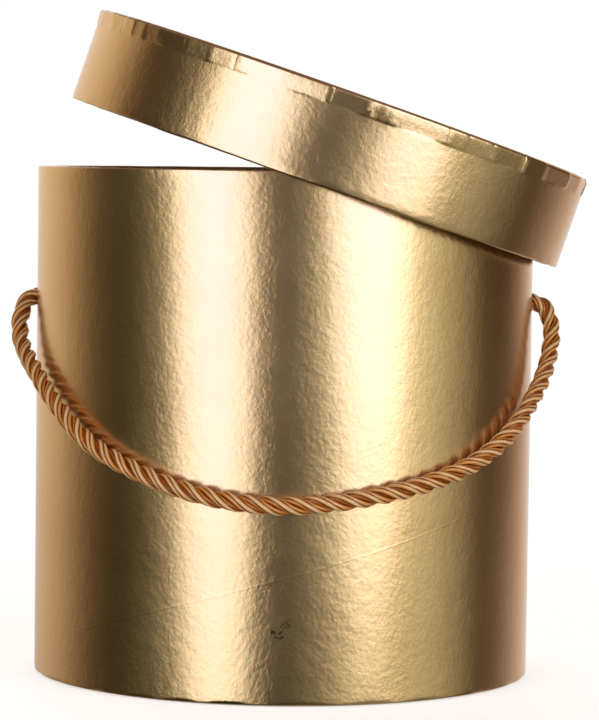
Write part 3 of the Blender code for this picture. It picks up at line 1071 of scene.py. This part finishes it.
soft_box(
    "soft_box_left", azimuth=-33.5, distance=1.1, width=0.74, low=-0.36, high=1.0,
    radiance=2.3, lean=18, cool_share=0.42,
)
soft_box(
    "soft_box_right", azimuth=38.4, distance=1.1, width=0.95, low=-0.12, high=1.0,
    radiance=2.2, lean=0, cool_share=0.66,
)
overhead = bpy.data.lights.new("soft_box_top", "AREA")
overhead.size = 1.0
overhead.energy = overhead_radiance * math.pi * overhead.size**2
hanger = bpy.data.objects.new("soft_box_top", overhead)
bpy.context.scene.collection.objects.link(hanger)
hanger.location = (-0.2, 0.75, 1.3)
hanger.rotation_euler = (math.radians(-30), 0, 0)
hanger.visible_camera = False
hanger.visible_glossy = False

# The room round the box, by turns from the left: 0.25 is in front, 0.5 right, 0.75 behind
surroundings = bpy.data.worlds.new("studio")
bpy.context.scene.world = surroundings
surroundings.use_nodes = True
surroundings.node_tree.nodes.clear()
direction = add_node(surroundings, "TexCoord").outputs["Generated"]
round_about = add_node(surroundings, "TexGradient", {"Vector": direction}, gradient_type="RADIAL")
room = add_node(surroundings, "ValToRGB", {"Fac": round_about.outputs["Fac"]}, stops=[
    (0.000, "#463C29"), (0.040, "#322E1A"), (0.068, "#545030"), (0.100, "#66623A"),
    (0.150, "#3A362C"), (0.250, "#0E0D0E"), (0.400, "#D8D0A0"), (0.445, "#E8E0B8"),
    (0.475, "#BDB48C"), (0.500, "#A09274"), (0.528, "#4C402B"), (0.561, "#33261A"),
    (0.597, "#38271A"), (0.625, "#7A5C46"), (0.655, "#C09C80"), (0.692, "#F0D8C4"),
    (0.722, "#FFFFFF"), (0.770, "#FFFFFF"), (0.800, "#F0D6BE"), (0.850, "#EACDA8"),
    (0.900, "#DDBD94"), (0.940, "#AA8E6A"), (0.983, "#564831"),
])
ceiling_tone = linear("#7A6250")
level = add_node(surroundings, "SeparateXYZ", {"Vector": direction})
downward = add_node(
    surroundings, "MapRange",
    {"Value": level.outputs["Z"], "From Min": -0.3, "From Max": 0.0, "To Min": 0.42},
)
overhead_share = add_node(
    surroundings, "MapRange", {"Value": level.outputs["Z"], "From Min": 0.35, "From Max": 0.6}
)
walls = add_node(
    surroundings, "VectorMath", {0: room.outputs["Color"], 3: downward.outputs["Result"]},
    operation="SCALE",
)
table = add_node(surroundings, "ValToRGB", {"Fac": round_about.outputs["Fac"]}, stops=[
    (0.500, "#000000"), (0.545, "#2B2318"), (0.589, "#816C5D"), (0.617, "#9C897B"),
    (0.660, "#93867C"), (0.720, "#5C5854"), (0.800, "#000000"),
])
below = add_node(
    surroundings, "MapRange", {"Value": level.outputs["Z"], "From Min": -0.04, "From Max": -0.15}
)
table_light = add_node(
    surroundings, "VectorMath", {0: table.outputs["Color"], 3: below.outputs["Result"]},
    operation="SCALE",
)
corner = add_node(surroundings, "ValToRGB", {"Fac": round_about.outputs["Fac"]}, stops=[
    (0.030, "#8A827C"), (0.060, "#FFFFFF"), (0.950, "#FFFFFF"), (0.980, "#8A827C"),
])
above = add_node(
    surroundings, "MapRange", {"Value": level.outputs["Z"], "From Min": 0.02, "From Max": 0.18}
)
shaded_walls = add_node(
    surroundings, "Mix",
    {0: above.outputs["Result"], 6: walls.outputs["Vector"], 7: corner.outputs["Color"]},
    data_type="RGBA", blend_type="MULTIPLY",
)
room_light = add_node(
    surroundings, "VectorMath", {0: shaded_walls.outputs[2], 1: table_light.outputs["Vector"]},
    operation="ADD",
)
mirrored = add_node(
    surroundings, "Mix",
    {0: overhead_share.outputs["Result"], 6: room_light.outputs["Vector"], 7: ceiling_tone},
    data_type="RGBA",
)
seen = add_node(surroundings, "LightPath")
colour = add_node(
    surroundings, "Mix",
    {0: seen.outputs["Is Camera Ray"], 6: mirrored.outputs[2], 7: (1, 1, 1, 1)},
    data_type="RGBA",
)
backdrop = add_node(surroundings, "Background", {"Color": colour.outputs[2]})
add_node(surroundings, "OutputWorld", {"Surface": backdrop.outputs["Background"]})

# The camera stands where the photograph's did, 1.2 m in front and just above the rim. It
# looks slightly down, with the small turn and roll that the photograph has.
camera_place = (0, -1.2451, 0.1897)
camera_turn, camera_dip, camera_roll = -0.26, 3.51, 0.77
lens = bpy.data.cameras.new("view")
lens.lens = 170.8
lens.sensor_width = 36.0
camera = bpy.data.objects.new("view", lens)
bpy.context.scene.collection.objects.link(camera)
camera.matrix_world = (
    Matrix.Translation(camera_place)
    @ Matrix.Rotation(math.radians(camera_turn), 4, "Z")
    @ Matrix.Rotation(math.radians(90 - camera_dip), 4, "X")
    @ Matrix.Rotation(math.radians(camera_roll), 4, "Z")
)
bpy.context.scene.camera = camera
bpy.context.scene.view_settings.view_transform = "Standard"
